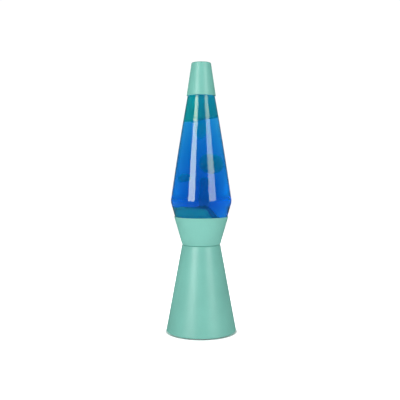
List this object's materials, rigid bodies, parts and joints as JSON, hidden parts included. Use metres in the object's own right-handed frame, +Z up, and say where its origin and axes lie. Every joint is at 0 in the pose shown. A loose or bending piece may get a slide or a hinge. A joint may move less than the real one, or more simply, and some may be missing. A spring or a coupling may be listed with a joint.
{
  "type": "lava lamp",
  "caption": "Spun metal cone base with a cup that holds a tapering glass bottle of liquid and wax, under a metal cap, with a screw-in bulb below that heats and lights it.",
  "frame": {"origin": "on the lamp's axis at table level, under the rubber feet", "axes": "+Z up the lamp's axis; -Y is the front; +Y is the rear, where the cord's inlet is; +X is to the right seen from the front"},
  "size_m": [0.1042, 0.1042, 0.4],
  "materials": {
    "mint_enamel": "satin",
    "black_enamel": "matte",
    "zinc_steel": "satin",
    "black_rubber": "matte",
    "dark_bakelite": "satin",
    "white_insulator": "matte",
    "contact_brass": "satin",
    "white_nylon": "satin",
    "brown_insulation": "satin",
    "blue_insulation": "satin",
    "earth_insulation": "satin",
    "tinned_copper": "satin",
    "tinplate": "satin",
    "cap_aluminium": "satin",
    "bottle_glass": "gloss",
    "blue_liquid": "gloss",
    "green_wax": "satin",
    "grey_liner": "matte",
    "frosted_bulb_glass": "satin",
    "stem_glass": "gloss",
    "dark_vitrite": "gloss",
    "tungsten": "matte"
  },
  "bodies": {
    "base": {"base_cone": "mint_enamel", "collar": "mint_enamel", "base_plate": "black_enamel", "plate_bracket_1": "zinc_steel", "plate_bracket_2": "zinc_steel", "plate_bracket_3": "zinc_steel", "plate_screw_1": "zinc_steel", "plate_screw_2": "zinc_steel", "plate_screw_3": "zinc_steel", "waist_screw_1": "zinc_steel", "waist_screw_2": "zinc_steel", "waist_screw_3": "zinc_steel", "waist_nut_1": "zinc_steel", "waist_nut_2": "zinc_steel", "waist_nut_3": "zinc_steel", "rubber_foot_1": "black_rubber", "rubber_foot_2": "black_rubber", "rubber_foot_3": "black_rubber", "rubber_foot_4": "black_rubber", "holder_bracket": "zinc_steel", "holder_nipple": "zinc_steel", "holder_nut": "zinc_steel", "holder_washer": "zinc_steel", "lampholder_body": "dark_bakelite", "lampholder_insert": "white_insulator", "lampholder_shell": "contact_brass", "centre_contact": "contact_brass", "shell_contact": "contact_brass", "contact_screws": "contact_brass", "cable_grommet": "black_rubber", "terminal_block": "white_nylon", "terminal_sleeves": "contact_brass", "terminal_screws": "zinc_steel", "block_screw": "zinc_steel", "live_wire": "brown_insulation", "neutral_wire": "blue_insulation", "earth_wire": "earth_insulation", "earth_lug": "tinned_copper", "earth_screw": "zinc_steel", "earth_nut": "zinc_steel"},
    "bottle": {"glass_bottle": "bottle_glass", "liquid": "blue_liquid", "wax_pool": "green_wax", "wire_coil": "zinc_steel", "crown_cap": "tinplate", "crown_liner": "grey_liner"},
    "cap": {"top_cap": "mint_enamel"},
    "bulb_tip": {"bulb_contact": "tinplate"},
    "bulb": {"bulb_glass": "frosted_bulb_glass", "bulb_screw_cap": "cap_aluminium", "bulb_insulator": "dark_vitrite", "bulb_stem": "stem_glass", "bulb_lead_wires": "tinplate", "bulb_filament": "tungsten"},
    "neck_wax": {"wax_neck": "green_wax"},
    "right_wax": {"wax_right_blob": "green_wax"},
    "left_wax": {"wax_left_blob": "green_wax"},
    "column_wax": {"wax_column": "green_wax"}
  },
  "joints": [
    {"name": "bottle_lift", "type": "slide", "parent": "base", "child": "bottle", "axis": [0, 0, 1], "range_m": [0, 0.06]},
    {"name": "cap_lift", "type": "slide", "parent": "bottle", "child": "cap", "axis": [0, 0, 1], "range_m": [0, 0.05]},
    {"name": "bulb_rise", "type": "slide", "parent": "base", "child": "bulb_tip", "axis": [0, 0, 1], "range_m": [0, 0.0128]},
    {"name": "bulb_turn", "type": "hinge", "parent": "bulb_tip", "child": "bulb", "pos_m": [0, 0, 0.1], "axis": [0, 0, 1], "range_deg": [0, 1620]},
    {"name": "neck_wax_drift", "type": "slide", "parent": "bottle", "child": "neck_wax", "axis": [0, 0, 1], "range_m": [-0.015, 0.004], "deforming": ["liquid"]},
    {"name": "right_wax_drift", "type": "slide", "parent": "bottle", "child": "right_wax", "axis": [0, 0, 1], "range_m": [-0.04, 0.015], "deforming": ["liquid"]},
    {"name": "left_wax_drift", "type": "slide", "parent": "bottle", "child": "left_wax", "axis": [0, 0, 1], "range_m": [-0.025, 0.03], "deforming": ["liquid"]},
    {"name": "column_wax_drift", "type": "slide", "parent": "bottle", "child": "column_wax", "axis": [0, 0, 1], "range_m": [0, 0.04], "deforming": ["liquid"]}
  ],
  "couplings": [
    {"joint": "bulb_rise", "follows": "bulb_turn", "m_per_rad": 0.00044913}
  ]
}
